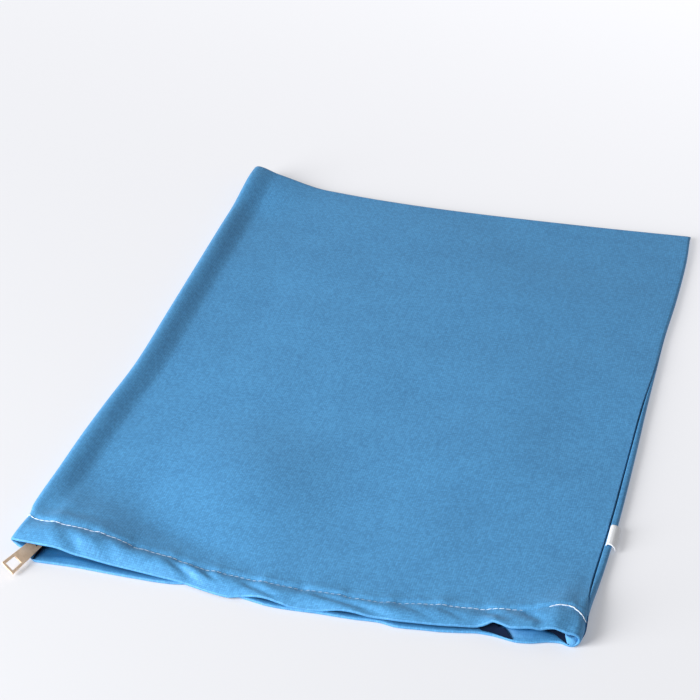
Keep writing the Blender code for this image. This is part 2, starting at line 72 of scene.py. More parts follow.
MOUTH_COLUMNS = ("x", "lower_y", "upper_y", "gap_top", "stitch_y", "stitch_z", "ease", "crown")
MOUTH = [
    (-150.0, 21.0, 4.8, 7.2, 28.5, 8.8, 50.0, 0.6),
    (-145.0, 13.0, 3.5, 8.3, 24.2, 9.4, 46.0, 0.8),
    (-141.0, 4.0, 3.0, 8.6, 23.0, 10.0, 42.0, 1.3),
    (-137.0, -0.2, 2.6, 8.7, 22.5, 10.4, 38.0, 1.7),
    (-133.0, -0.6, 2.3, 8.7, 22.1, 10.6, 35.0, 2.0),
    (-124.0, -0.1, 2.0, 8.6, 21.0, 10.6, 30.0, 2.4),
    (-112.0, 0.3, 1.6, 6.2, 21.2, 10.3, 27.0, 2.9),
    (-100.0, 0.0, 1.5, 4.5, 20.0, 8.9, 24.0, 3.1),
    (-88.0, -0.2, 1.4, 3.2, 18.4, 6.9, 22.0, 3.3),
    (-76.0, -0.2, 1.3, 2.3, 17.5, 5.5, 20.0, 3.1),
    (-68.0, -0.1, 1.1, 1.7, 16.7, 4.9, 19.0, 3.0),
    (-60.0, 0.6, 0.9, 1.2, 15.5, 4.6, 18.0, 2.8),
    (-52.0, 2.5, 0.6, 0.5, 13.6, 4.2, 18.0, 2.3),
    (-44.0, 2.5, -1.3, 0.3, 12.2, 4.0, 18.0, 1.9),
    (-30.0, 0.5, -3.6, 0.4, 11.6, 3.8, 18.0, 1.8),
    (-23.0, -1.0, -2.4, 1.1, 11.1, 3.7, 18.0, 1.6),
    (-16.0, -2.4, -2.0, 2.6, 10.6, 3.7, 18.0, 1.2),
    (-9.0, -3.7, -2.2, 3.3, 10.2, 3.7, 18.0, 1.2),
    (-2.0, -4.0, -3.3, 2.2, 10.0, 3.7, 18.0, 1.4),
    (5.0, -3.8, -3.7, 0.8, 10.1, 3.7, 18.0, 1.8),
    (18.0, -3.0, -2.9, 0.8, 10.3, 3.7, 18.0, 1.8),
    (28.0, -2.9, -1.7, 2.7, 10.3, 3.7, 18.0, 1.3),
    (36.0, -2.7, -1.5, 3.0, 10.0, 3.7, 18.0, 1.1),
    (44.0, -2.0, -1.6, 2.1, 10.0, 3.7, 18.0, 1.4),
    (50.0, -1.9, -1.5, 2.0, 10.7, 3.8, 18.0, 1.5),
    (58.0, -3.4, -1.9, 2.4, 12.8, 3.9, 18.0, 1.5),
    (70.0, -2.2, -0.8, 2.5, 14.8, 3.9, 18.0, 1.4),
    (80.0, -1.2, 0.3, 2.5, 16.2, 3.9, 18.0, 1.4),
    (90.0, 0.8, 1.6, 3.0, 17.2, 4.0, 18.0, 1.2),
    (97.0, 2.4, 3.0, 3.1, 17.9, 4.0, 18.0, 1.0),
    (101.0, 2.6, 3.6, 4.7, 18.4, 4.3, 18.0, 0.8),
    (105.0, 2.5, 4.3, 7.3, 19.0, 4.7, 20.0, 0.6),
    (109.0, 2.0, 3.6, 7.4, 19.4, 5.1, 22.0, 0.7),
    (114.0, 1.0, 2.3, 6.9, 19.9, 5.7, 22.0, 0.8),
    (118.0, 0.5, 2.2, 7.4, 20.4, 6.3, 22.0, 0.8),
    (125.0, 1.6, 3.3, 7.9, 21.7, 7.5, 22.0, 0.8),
    (128.5, 3.0, 3.7, 7.3, 22.4, 8.1, 22.0, 0.8),
    (132.0, 4.3, 4.5, 8.1, 23.3, 8.7, 22.0, 0.8),
    (136.0, 5.2, 4.8, 8.7, 24.5, 9.3, 22.0, 0.8),
    (139.5, 5.4, 4.8, 7.7, 24.8, 9.2, 22.0, 0.8),
    (143.5, 4.2, 4.5, 6.9, 24.4, 8.7, 22.0, 0.7),
    (149.0, 5.2, 5.0, 7.2, 24.0, 8.2, 22.0, 0.7),
]
LEFT_COLUMNS = ("y", "edge_x", "roll_z")
LEFT_EDGE = [
    (0.0, -150.4, 8.6),
    (17.0, -149.6, 9.2),
    (21.0, -149.8, 9.3),
    (27.0, -151.2, 9.3),
    (40.0, -151.4, 9.3),
    (60.0, -151.0, 9.0),
    (95.0, -150.8, 8.4),
    (130.0, -149.8, 8.0),
    (180.0, -147.4, 8.2),
    (240.0, -148.6, 8.4),
    (300.0, -149.8, 8.7),
    (370.0, -151.4, 8.6),
    (410.0, -151.6, 7.4),
    (430.0, -151.2, 5.4),
]
RIGHT_COLUMNS = ("y", "edge_x", "seam_up")
RIGHT_EDGE = [
    (0.0, 149.0, -1.0),
    (7.0, 150.0, -0.4),
    (15.0, 149.8, 0.9),
    (24.0, 149.6, 2.6),
    (34.0, 149.8, 3.9),
    (48.0, 150.4, 4.6),
    (70.0, 151.2, 4.9),
    (110.0, 151.9, 4.9),
    (170.0, 151.4, 4.5),
    (215.0, 150.6, 3.6),
    (260.0, 150.2, 1.6),
    (300.0, 150.0, 0.4),
    (345.0, 151.1, 0.2),
    (395.0, 151.0, 0.2),
    (430.0, 149.2, 0.2),
]
BACK_COLUMNS = ("x", "y")
BACK_EDGE = [
    (-150.0, 439.6),
    (-128.0, 436.8),
    (-100.0, 432.4),
    (-60.0, 428.0),
    (-15.0, 426.0),
    (35.0, 426.4),
    (95.0, 428.2),
    (150.0, 431.0),
]
SWELLS = [  # x, y, height, half_x, half_y
    (-50.0, 96.0, 3.0, 62.0, 76.0),
    (70.0, 150.0, 0.9, 60.0, 120.0),
    (30.0, 330.0, 0.8, 90.0, 70.0),
    (-95.0, 260.0, -0.4, 22.0, 120.0),
]
# Drag puckers in the hem and soft folds behind it.
CREASES = [  # from x, y to x, y, half_width, height
    (-66.0, 12.5, -49.0, 3.0, 2.6, -1.3),
    (-58.0, 12.5, -44.0, 4.5, 2.8, 0.6),
    (-46.0, 9.5, -37.5, 5.0, 1.9, -0.9),
    (-25.0, 7.5, -5.0, -0.6, 2.4, -1.2),
    (10.5, 8.0, 49.0, 1.2, 2.6, -1.3),
    (27.0, 8.5, 58.0, 2.0, 3.2, 0.4),
    (56.0, 11.5, 74.0, 4.0, 2.6, -0.6),
    (76.0, 13.0, 92.0, 6.0, 2.2, -0.6),
    (99.5, 16.5, 110.5, 9.0, 3.2, -1.1),
    (106.0, 19.0, 118.0, 9.0, 2.8, 0.5),
    (117.0, 20.0, 128.5, 10.0, 2.8, -1.4),
    (-124.0, 14.0, -112.0, 4.5, 3.8, -1.0),
    (-116.0, 15.0, -102.0, 6.0, 3.8, 0.5),
    (-104.0, 14.5, -92.0, 5.0, 3.2, -0.5),
    (-145.0, 30.0, -106.0, 26.5, 3.4, 0.55),
    (-140.0, 38.0, -100.0, 34.0, 4.6, -0.35),
    (-90.0, 42.0, -30.0, 25.0, 9.0, -0.7),
    (100.0, 30.0, 140.0, 42.0, 7.0, -0.4),
]
STITCH_DIP = (0.36, 1.4)  # depth, half_width
STITCH_SWELL = (0.3, 3.2, 2.4)  # height, behind, half_width
GATHERS = (  # spacing, height, reach, start
    (8.3, 0.12, 5.0, 0.4),
    (13.1, 0.2, 7.0, 2.1),
    (29.0, 0.3, 9.0, 4.0),
)
UNEVENNESS = (  # spacing, height
    (70.0, 0.7),
    (24.0, 0.13),
    (7.0, 0.012),
)
RELIEF_AT_LEFT_EDGE = 0.12
SEAM_TURN = (  # steps out and down by which a side edge is turned into its seam
    (0.22, 0.1),
    (0.4, 0.32),
    (0.48, 0.75),
    (0.4, 1.4),
)


def curve(columns, rows, name, at):
    """One column of a table, read at each place on a smooth curve through its rows."""
    table = np.array(rows)
    place, value = table[:, 0], table[:, columns.index(name)]
    order = np.arange(len(place))
    low, high = np.maximum(order - 1, 0), np.minimum(order + 1, len(place) - 1)
    slope = (value[high] - value[low]) / (place[high] - place[low])
    at = np.clip(at, place[0], place[-1])
    k = np.clip(np.searchsorted(place, at, "right") - 1, 0, len(place) - 2)
    span = place[k + 1] - place[k]
    t = (at - place[k]) / span
    start = (value[k] * (1 + 2 * t) + slope[k] * span * t) * (1 - t) ** 2
    end = (value[k + 1] * (3 - 2 * t) + slope[k + 1] * span * (t - 1)) * t ** 2
    return start + end


def mouth(name, x):
    return curve(MOUTH_COLUMNS, MOUTH, name, x)


def mix(low, high, share):
    return low + (high - low) * share


def ease(t):
    """0 to 1 with level ends."""
    t = np.clip(t, 0.0, 1.0)
    return t * t * (3 - 2 * t)


def left_edge(y):
    return curve(LEFT_COLUMNS, LEFT_EDGE, "edge_x", y)


def right_edge(y):
    return curve(RIGHT_COLUMNS, RIGHT_EDGE, "edge_x", y)


def body_height(x, y):
    """The bag's height behind its hem: a low middle, gentle swells and the raised left roll."""
    height = BODY_HEIGHT
    for swell_x, swell_y, rise, half_x, half_y in SWELLS:
        height = height + rise * (1 - ease(np.hypot((x - swell_x) / half_x, (y - swell_y) / half_y)))
    roll = curve(LEFT_COLUMNS, LEFT_EDGE, "roll_z", y)
    return mix(height, roll, 1 - ease((x - left_edge(y) - ROLL_HALF_WIDTH) / ROLL_SLOPE))


def height_at(x, y):
    """The height of the bag's top, y millimetres behind its mouth."""
    x = np.minimum(x, right_edge(y) - 6.0)
    lip, stitch = mouth("gap_top", x) + LIP_FOLD, mouth("stitch_z", x)
    t = np.clip(y / HEM_DEPTH, 0.0, 1.0)
    hem = mix(lip, stitch, ease(t)) + mouth("crown", x) * np.sin(math.pi * t)
    fade = np.exp(-(((y - HEM_DEPTH) / mouth("ease", x)) ** 2))
    body = body_height(x, y) + (stitch - body_height(x, HEM_DEPTH)) * fade
    return np.where(y <= HEM_DEPTH, hem, body)


def true_y(x, y, level):
    """Where a place y behind the mouth lies: lips, stitching and back edge all wander."""
    stitch = mouth("stitch_y", x)
    hem = mix(mix(mouth("lower_y", x), mouth("upper_y", x), level), stitch, y / HEM_DEPTH)
    back = curve(BACK_COLUMNS, BACK_EDGE, "y", x)
    body = mix(stitch, back, (y - HEM_DEPTH) / (BAG_LENGTH - HEM_DEPTH))
    return np.where(y <= HEM_DEPTH, hem, body)


def laid(x, y, z, height, level=None):
    """Points of the skin, with the back edge closed along its middle and the corner lifted."""
    into_edge = np.clip((y - BAG_LENGTH + BACK_ROUNDING) / BACK_ROUNDING, 0.0, 1.0)
    z_closed = height / 2 + (z - height / 2) * np.sqrt(1 - into_edge ** 2)
    reach_x, reach_y = CORNER_REACH
    across = ease((left_edge(y) + reach_x - x) / reach_x)
    back = ease((y - BAG_LENGTH + reach_y) / reach_y)
    level = z / height if level is None else level
    return np.stack([x, true_y(x, y, level), z_closed + CORNER_LIFT * across * back], axis=-1)


def right_wall(up, y):
    """The skin round the right edge, up millimetres along it from its outermost line."""
    edge = right_edge(y)
    height = height_at(edge, y)
    radius = height / 2
    quarter = radius * math.pi / 2
    angle = np.minimum(up, quarter) / radius
    x = edge - radius * (1 - np.cos(angle)) - np.maximum(up - quarter, 0.0)
    tall = np.where(up > quarter, height_at(x, y), height)
    return laid(x, y, np.where(up > quarter, tall, radius * (1 + np.sin(angle))), tall)


def top_start_x(y):
    edge = right_edge(y)
    radius = height_at(edge, y) / 2
    return edge - radius - (TOP_START - radius * math.pi / 2)


def seam_up(y):
    return curve(RIGHT_COLUMNS, RIGHT_EDGE, "seam_up", y)


def outward(points):
    """Unit normals of a grid of points, from the runs of its rows and columns."""
    across = np.gradient(points, axis=1)
    behind = np.gradient(points, axis=0)
    normal = np.cross(behind, across)
    return normal / np.maximum(np.linalg.norm(normal, axis=-1, keepdims=True), 1e-9)


def relief(points, y, from_stitch):
    """How far the cloth stands off its plain form: creases, the stitched dip, gathers, unevenness."""
    x, true = points[..., 0], points[..., 1]
    raised = np.zeros_like(x)
    for x0, y0, x1, y1, half_width, height in CREASES:
        run = np.array([x1 - x0, y1 - y0])
        length = np.linalg.norm(run)
        on = ((x - x0) * run[0] + (true - y0) * run[1]) / length ** 2
        off = ((x - x0) * run[1] - (true - y0) * run[0]) / length
        taper = ease((on + 0.25) / 0.55) * ease((1.25 - on) / 0.55)
        raised += height * np.exp(-((off / half_width) ** 2)) * taper
    dip, dip_width = STITCH_DIP
    raised -= dip * np.exp(-((from_stitch / dip_width) ** 2))
    swell, behind, swell_width = STITCH_SWELL
    raised += swell * np.exp(-(((from_stitch - behind) / swell_width) ** 2))
    for spacing, height, reach, start in GATHERS:
        wave = np.sin(2 * math.pi * x / spacing + start)
        raised += height * wave * np.exp(-((from_stitch / reach) ** 2))
    for spacing, height in UNEVENNESS:
        places = zip(x.flat, true.flat)
        field = [noise.noise(Vector((a / spacing, b / spacing, spacing))) for a, b in places]
        raised += height * np.array(field).reshape(x.shape)
    steady = ease((x - left_edge(y) - 1.5) / 9.0)
    return raised * ease((BAG_LENGTH - y) / 6.0) * mix(RELIEF_AT_LEFT_EDGE, 1.0, steady)


def grid_rows():
    """Places behind the mouth: close together in the hem, wider over the body, close at the back."""
    hem = np.concatenate([[LIP_FOLD / 2, 1.2, 1.7, 2.3], np.arange(3.0, HEM_DEPTH - 2.2, 1.0)])
    stitched = np.arange(HEM_DEPTH - 2.0, HEM_DEPTH + 4.01, 0.5)
    behind = np.concatenate([np.arange(23.0, 44.0, 1.2), np.arange(45.0, 90.0, 2.0)])
    body = np.arange(91.0, BAG_LENGTH - 9.0, 3.0)
    back = BAG_LENGTH - np.array([8.0, 6.0, 4.5, 3.4, 2.6, 1.9, 1.2, 0.6, 0.2, 0.0])
    return np.concatenate([hem, stitched, behind, body, back])


def layers_at(y):
    """How thick a hem's two layers are together, from its folded lip to its stitching."""
    return mix(LIP_FOLD, HEM_LAYERS, ease((y - 1.5) / 5.0))


def add_lip(points, normals, y, bulge):
    """The grid with its front folded round and in to the stitching; that layer may bulge."""
    forward = np.cross(np.gradient(points[0], axis=0), normals[0])
    forward /= np.linalg.norm(forward, axis=-1, keepdims=True)
    forward *= np.where(forward[:, 1:2] > 0, -1.0, 1.0)
    radius = LIP_FOLD / 2
    folded = []
    for j in range(len(y) - 1, -1, -1):
        if radius + 1.0 < y[j] <= HEM_DEPTH - 0.5:
            folded.append(points[j] - normals[j] * (layers_at(y[j]) + bulge[j])[:, None])
    centre = points[0] - normals[0] * radius
    for angle in np.linspace(math.pi, 0.0, 9)[:-1]:
        folded.append(centre + radius * (normals[0] * math.cos(angle) + forward * math.sin(angle)))
    return np.concatenate([np.array(folded), points])


def turn_in(points, normals, steps):
    """The grid with both side edges turned into their seams."""
    sides = []
    for edge, beside in ((0, 1), (-1, -2)):
        outwards = points[:, edge] - points[:, beside]
        outwards /= np.maximum(np.linalg.norm(outwards, axis=-1, keepdims=True), 1e-9)
        sides.append([points[:, edge] + outwards * out - normals[:, edge] * down for out, down in steps])
    first = np.stack(sides[0][::-1], axis=1)
    last = np.stack(sides[1], axis=1)
    return np.concatenate([first, points, last], axis=1)


def cloth_object(name, points):
    """A sheet through a grid of points, with its weave's UV map in millimetres."""
    rows, columns = points.shape[:2]
    bm = bmesh.new()
    bmesh.ops.create_grid(bm, x_segments=columns - 1, y_segments=rows - 1, size=0.5, calc_uvs=False)
    across = np.linalg.norm(np.diff(points, axis=1), axis=-1).mean(axis=0)
    behind = np.linalg.norm(np.diff(points, axis=0), axis=-1).mean(axis=1)
    u = np.concatenate([[0.0], np.cumsum(across)])
    v = np.concatenate([[0.0], np.cumsum(behind)])
    weave = bm.loops.layers.uv.new("weave")
    spot = {}
    for vert in bm.verts:
        i = round((vert.co.x + 0.5) * (columns - 1))
        j = round((vert.co.y + 0.5) * (rows - 1))
        spot[vert] = (u[i], v[j])
        x, y, z = points[j, i]
        vert.co = Vector((x, y - MOUTH_TO_ORIGIN, z)) * MM
    for face in bm.faces:
        face.smooth = True
        for loop in face.loops:
            loop[weave].uv = spot[loop.vert]
    bmesh.ops.reverse_faces(bm, faces=bm.faces)
    mesh = bpy.data.meshes.new(name)
    bm.to_mesh(mesh)
    bm.free()
    made = bpy.data.objects.new(name, mesh)
    bpy.context.scene.collection.objects.link(made)
    return made


y_rows = grid_rows()
y_grid = y_rows[:, None]
seam_share = np.linspace(0.0, 1.0, 15)[:-1] ** 1.5
seam_opens = ease((y_grid - SEAM_GAP_FROM) / SEAM_GAP_OVER)
seam_gap = SEAM_GAP * mix(SEAM_GAP_AT_MOUTH, 1.0, seam_opens)
upper_right = right_wall(mix(seam_up(y_grid) + seam_gap / 2, TOP_START, seam_share[None, :]),
                         np.broadcast_to(y_grid, (len(y_rows), 14)))
top_x = mix(top_start_x(y_grid), left_edge(y_grid) + ROLL_HALF_WIDTH, np.linspace(0.0, 1.0, 190)[None, :])
top_y = np.broadcast_to(y_grid, top_x.shape)
top_z = height_at(top_x, top_y)
upper_top = laid(top_x, top_y, top_z, top_z)
roll_angle = np.linspace(0.0, math.pi, 21)[None, 1:]
ridge_x = left_edge(y_grid) + ROLL_HALF_WIDTH
ridge_z = height_at(ridge_x, y_grid)
roll_x = ridge_x - ROLL_HALF_WIDTH * np.sin(roll_angle)
roll_y = np.broadcast_to(y_grid, roll_x.shape)
roll_down = (1 - np.cos(roll_angle)) / 2
curl_z = CURL_LIFT * ease((CURL_REACH - y_grid) / CURL_REACH)
upper_roll = laid(roll_x, roll_y, mix(ridge_z, curl_z, roll_down), np.broadcast_to(ridge_z, roll_x.shape),
                  1.0 - CURL_SWEEP * roll_down)
tuck_x = ridge_x + ROLL_TUCK * np.array([[0.35, 0.7, 0.98]])
tuck_y = np.broadcast_to(y_grid, tuck_x.shape)
tuck_z = curl_z + np.zeros_like(tuck_x)
upper_tuck = laid(tuck_x, tuck_y, tuck_z, height_at(tuck_x, tuck_y), 1.0 - CURL_SWEEP)
upper_skin = np.concatenate([upper_right, upper_top, upper_roll, upper_tuck], axis=1)
stitch_path = np.full(upper_skin.shape[1], HEM_DEPTH)
stitch_path[:14] = HEM_DEPTH - STITCH_RISE_AT_SEAM * (1 - seam_share) ** 1.5
upper_normal = outward(upper_skin)
lies_up = ease(upper_normal[..., 2:] * 1.5 + 0.6)
lifted = relief(upper_skin, y_grid, y_grid - stitch_path[None, :])[..., None]
upper_skin = upper_skin + upper_normal * lifted * lies_up
upper_normal = outward(upper_skin)
upper_with_lip = add_lip(upper_skin, upper_normal, y_rows, np.zeros(upper_skin.shape[:2]))
upper_points = turn_in(upper_with_lip, outward(upper_with_lip), SEAM_TURN)
upper_sheet = cloth_object("upper_sheet", upper_points)

# How far along the weave's UV map the turned-in layer ends and the lip's fold begins.
turned_rows = int(np.sum((y_rows > LIP_FOLD / 2 + 1.0) & (y_rows <= HEM_DEPTH - 0.5)))
turned_steps = np.linalg.norm(np.diff(upper_points[:turned_rows + 1], axis=0), axis=-1)
rim_far = float(turned_steps.mean(axis=1).sum())


def linear(hex_color):
    """An sRGB hex colour as linear RGBA."""
    channels = [int(hex_color[k:k + 2], 16) / 255 for k in (1, 3, 5)]
    return (*[c / 12.92 if c <= 0.04045 else ((c + 0.055) / 1.055) ** 2.4 for c in channels], 1.0)


def add_node(tree, kind, settings=None, **inputs):
    """One node with its settings; an input is a value, or another node's output socket."""
    node = tree.nodes.new(kind)
    for key, value in (settings or {}).items():
        setattr(node, key, value)
    for key, value in inputs.items():
        numbered = key[0] == "_" and key[1:].isdigit()
        socket = node.inputs[int(key[1:]) if numbered else key.replace("_", " ")]
        if isinstance(value, bpy.types.NodeSocket):
            tree.links.new(value, socket)
        else:
            socket.default_value = value
    return node


def new_material(name, **values):
    """A material with a Principled shader and these constant values on its sockets."""
    made = bpy.data.materials.new(name)
    made.use_nodes = True
    shader = made.node_tree.nodes["Principled BSDF"]
    for key, value in values.items():
        shader.inputs[key.replace("_", " ")].default_value = value
    return made, made.node_tree, shader


def woven_height(tree, uv, pitch):
    """A plain weave's height, 0 to 1: threads of one pitch that pass over and under by turns."""
    split = add_node(tree, "ShaderNodeSeparateXYZ", _0=uv)
    waves = []
    for axis in (0, 1):
        turn = add_node(tree, "ShaderNodeMath", {"operation": "MULTIPLY"},
                        _0=split.outputs[axis], _1=math.pi / pitch)
        waves.append(add_node(tree, "ShaderNodeMath", {"operation": "SINE"}, _0=turn.outputs[0]))
    rounds = [add_node(tree, "ShaderNodeMath", {"operation": "ABSOLUTE"}, _0=w.outputs[0]) for w in waves]
    both = add_node(tree, "ShaderNodeMath", {"operation": "MULTIPLY"},
                    _0=waves[0].outputs[0], _1=waves[1].outputs[0])
    over = add_node(tree, "ShaderNodeMapRange", {}, Value=both.outputs[0], From_Min=-0.25, From_Max=0.25)
    weave = add_node(tree, "ShaderNodeMix", {"data_type": "FLOAT"}, _0=over.outputs[0],
                     _2=rounds[0].outputs[0], _3=rounds[1].outputs[0])
    return weave.outputs[0]


# Plain-woven cotton canvas, piece-dyed mid blue: matt, slubbed both ways, with a short fuzz
# that lightens it at grazing angles. Its threads lie 0.5 mm apart and are drawn 1.2 mm apart
# to show. The layers turned in at the mouth are painted a deeper blue: painted shade, for the
# light that only blue cloth throws on them.
THREAD_PITCH = 1.2
# Where the turned-in layers' painted shade fades out:
INSIDE_SHADE_ENDS = (-2.4, 2.0)  # from and to, millimetres past the start of the lip's fold


def canvas(name, deep, bright, inside_shade):
    made, tree, shader = new_material(name, Roughness=0.62, Sheen_Weight=0.25, Sheen_Roughness=0.4)
    shader.inputs["Specular IOR Level"].default_value = 0.5
    shader.inputs["Sheen Tint"].default_value = linear("#9CCBF2")
    uv = add_node(tree, "ShaderNodeUVMap", {"uv_map": "weave"}).outputs[0]
    weave = woven_height(tree, uv, THREAD_PITCH)
    cell = add_node(tree, "ShaderNodeVectorMath", {"operation": "SNAP"},
                    _0=uv, _1=(THREAD_PITCH, THREAD_PITCH, 1.0))
    crossing = add_node(tree, "ShaderNodeTexWhiteNoise", {"noise_dimensions": "2D"}, Vector=cell.outputs[0])
    slubs = []
    for stretch in ((0.9, 0.06, 1.0), (0.06, 0.9, 1.0)):
        along = add_node(tree, "ShaderNodeMapping", {}, Vector=uv, Scale=stretch)
        lines = add_node(tree, "ShaderNodeTexNoise", {}, Vector=along.outputs[0], Scale=1.0, Detail=2.0)
        slubs.append(lines.outputs[0])
    slub = add_node(tree, "ShaderNodeMath", {"operation": "ADD"}, _0=slubs[0], _1=slubs[1])
    patches = add_node(tree, "ShaderNodeTexNoise", {}, Vector=uv, Scale=0.03, Detail=2.0, Roughness=0.5)
    fuzz = add_node(tree, "ShaderNodeTexNoise", {}, Vector=uv, Scale=1.6, Detail=2.0, Roughness=0.6)
    tone = add_node(tree, "ShaderNodeMath", {"operation": "MULTIPLY"}, _0=weave, _1=0.2)
    for part, share in ((slub, 0.14), (patches, 0.16), (fuzz, 0.42), (crossing, 0.22)):
        tone = add_node(tree, "ShaderNodeMath", {"operation": "MULTIPLY_ADD"},
                        _0=part.outputs[0], _1=share, _2=tone.outputs[0])
    color = add_node(tree, "ShaderNodeMapRange", {"data_type": "FLOAT_VECTOR"}, Vector=tone.outputs[0],
                     _7=(0.3,) * 3, _8=(0.95,) * 3, _9=linear(deep)[:3], _10=linear(bright)[:3])
    # Painted shade: the turned-in layers take the inside colour, fading out past the lip's fold.
    far_in = add_node(tree, "ShaderNodeSeparateXYZ", _0=uv).outputs[1]
    inside_shade_share = add_node(tree, "ShaderNodeMapRange", {}, Value=far_in, To_Min=1.0, To_Max=0.0,
                         From_Min=rim_far + INSIDE_SHADE_ENDS[0], From_Max=rim_far + INSIDE_SHADE_ENDS[1])
    shaded = add_node(tree, "ShaderNodeMix", {"data_type": "RGBA"}, _0=inside_shade_share.outputs[0],
                      _6=color.outputs[1], _7=linear(inside_shade))
    tree.links.new(shaded.outputs[2], shader.inputs["Base Color"])
    height = weave
    for part, share in ((slub, 0.4), (fuzz, 0.5)):
        height = add_node(tree, "ShaderNodeMath", {"operation": "MULTIPLY_ADD"},
                          _0=part.outputs[0], _1=share, _2=height).outputs[0]
    bump = add_node(tree, "ShaderNodeBump", {}, Strength=0.5, Distance=0.12 * MM, Height=height)
    tree.links.new(bump.outputs[0], shader.inputs["Normal"])
    return made


# Its last colour, a deep saturated blue, is painted shade on the layers turned in at the mouth.
blue_canvas_shaded_inside = canvas("dyed_cotton_canvas", "#2C6A9C", "#55A3DA", "#045A92")
upper_sheet.data.materials.append(blue_canvas_shaded_inside)
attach(upper_sheet, "root")
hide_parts("upper_panel")

# The lower panel: the same canvas, cut to the same size. It lies on the table, and on the
# right it laps up over the bag's edge to the seam. Its front is folded in as the lower hem,
# and the layer turned in there stands up between the lips near the mouth's right end.
UNDER_TUCK_REACH = 1.02
CURL_FALLS_OVER = 5.0
BULGE_RISE = (1.2, 3.2)  # from, over, behind the mouth
BULGE_FALL = 0.55  # of its reach
under_share = np.concatenate([np.linspace(0.0, 0.8, 76), np.linspace(0.8, 1.0, 45)[1:]])[None, :]
right_x = right_edge(y_grid)
right_radius = height_at(right_x, y_grid) / 2
under_x = mix(ridge_x + ROLL_TUCK * UNDER_TUCK_REACH, right_x - right_radius, under_share)
under_y = np.broadcast_to(y_grid, under_x.shape)
risen_z = curl_z * (1 - ease((under_x - under_x[:, :1]) / CURL_FALLS_OVER))
lower_flat = laid(under_x, under_y, risen_z, height_at(under_x, under_y))
edge_quarter = right_radius * math.pi / 2
rise_share = 1 - (1 - np.linspace(0.0, 1.0, 17)[None, 1:]) ** 1.3
lower_rise = right_wall(mix(-edge_quarter, seam_up(y_grid) - seam_gap / 2, rise_share),
                        np.broadcast_to(y_grid, (len(y_rows), 16)))
lower_skin = np.concatenate([lower_flat, lower_rise], axis=1)
LIP_COLUMNS = ("x", "fullness", "reach")
LOWER_LIP = [
    (-150, 0.0, 16.0),
    (-131, 0.0, 16.0),
    (-126, 0.5, 16.0),
    (-118, 1.3, 16.0),
    (-104, 0.7, 16.0),
    (-88, 0.2, 16.0),
    (-60, 0.0, 16.0),
    (60, 0.0, 8.6),
    (101, 0.0, 8.6),
    (104, 0.4, 8.6),
    (107, 1.9, 8.6),
    (110.5, 3.8, 8.6),
    (115, 4.7, 8.6),
    (122, 5.0, 8.6),
    (127, 4.9, 8.6),
    (130, 4.0, 8.6),
    (133, 2.3, 8.6),
    (136.5, 1.0, 8.6),
    (140, 0.3, 8.6),
    (143, 0.0, 8.6),
    (149, 0.0, 8.6),
]


def lip_curve(name, x):
    return curve(LIP_COLUMNS, LOWER_LIP, name, x)


def lower_bulge(x, y):
    """How far the lower hem's turned-in layer stands up off its plain form."""
    reach = lip_curve("reach", x)
    rise = ease((y - BULGE_RISE[0]) / BULGE_RISE[1])
    return lip_curve("fullness", x) * rise * ease((reach - y) / (BULGE_FALL * reach))


lower_normal = outward(lower_skin)
bulge = lower_bulge(lower_skin[0, :, 0], y_grid)
lower_with_lip = add_lip(lower_skin, lower_normal, y_rows, bulge)
lower_points = turn_in(lower_with_lip, outward(lower_with_lip), SEAM_TURN)
lower_sheet = cloth_object("lower_sheet", lower_points)
lower_sheet.data.materials.append(blue_canvas_shaded_inside)
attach(lower_sheet, "root")
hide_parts("lower_panel")

# The corner tuck: the hem's side allowance, folded in at the right end of the mouth. It shows as
# a small bright flap of the same canvas, standing between the lips. Its own copy of the canvas
# shows one flat lighter blue all over: painted light on the flap.
TUCK_NET = np.array([  # rows from the table up to the upper lip, columns to the right
    [(142.9, 4.4, 0.9), (144.3, 4.6, 0.9), (145.9, 5.4, 1.1), (147.2, 7.2, 1.6)],
    [(142.1, 5.6, 3.0), (144.2, 5.2, 2.6), (146.4, 5.7, 2.8), (148.0, 8.0, 3.2)],
    [(141.2, 6.6, 5.8), (143.0, 6.1, 5.0), (145.2, 6.0, 4.5), (148.2, 8.6, 4.8)],
    [(141.4, 10.0, 5.0), (143.2, 9.6, 4.5), (145.4, 9.4, 4.2), (148.0, 10.5, 4.4)],
])


def through_net(net, share):
    """Places along a smooth curve through equally spaced points, for shares from 0 to 1."""
    at = np.linspace(0.0, 1.0, len(net))
    rows = [(place, *point) for place, point in zip(at, net.reshape(len(net), -1))]
    names = ["at", *range(len(rows[0]) - 1)]
    found = np.stack([curve(names, rows, name, share) for name in names[1:]], axis=1)
    return found.reshape(len(share), *net.shape[1:])


tuck_share = np.linspace(0.0, 1.0, 25)
tuck_points = through_net(TUCK_NET, tuck_share)
tuck_points = np.swapaxes(through_net(np.swapaxes(tuck_points, 0, 1), tuck_share), 0, 1)
corner_tuck = cloth_object("corner_tuck", tuck_points)
# The flap's last colour, a flat lighter blue, covers all of it as painted light.
corner_tuck.data.materials.append(canvas("canvas_flap_painted_light", "#34709F", "#5AA0D4", "#4F97CE"))
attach(corner_tuck, "root")
tuck_wall = corner_tuck.modifiers.new("doubled_canvas", "SOLIDIFY")
tuck_wall.thickness = 0.7 * MM
tuck_wall.offset = 0.0

# The stitching: one row of pale blue-white polyester topstitch, 3.2 mm a stitch, through all
# the hem's layers. It stands proud at both ends of the mouth and sinks in between.
STITCH_PITCH = 3.2
STITCH_HALF = (1.6, 0.26, 0.22)
STITCH_SLANT = 5.0
SHOW_COLUMNS = ("x", "proud", "girth")
STITCH_SHOW = [
    (-151, 0.24, 1.05),
    (-114, 0.22, 1.05),
    (-100, 0.16, 0.95),
    (-60, 0.05, 0.8),
    (-40, -0.02, 0.72),
    (60, -0.06, 0.7),
    (90, 0.02, 0.85),
    (112, 0.0, 0.85),
    (120, -0.2, 0.7),
    (129, -0.2, 0.7),
    (134, 0.3, 1.5),
    (149, 0.3, 1.5),
]


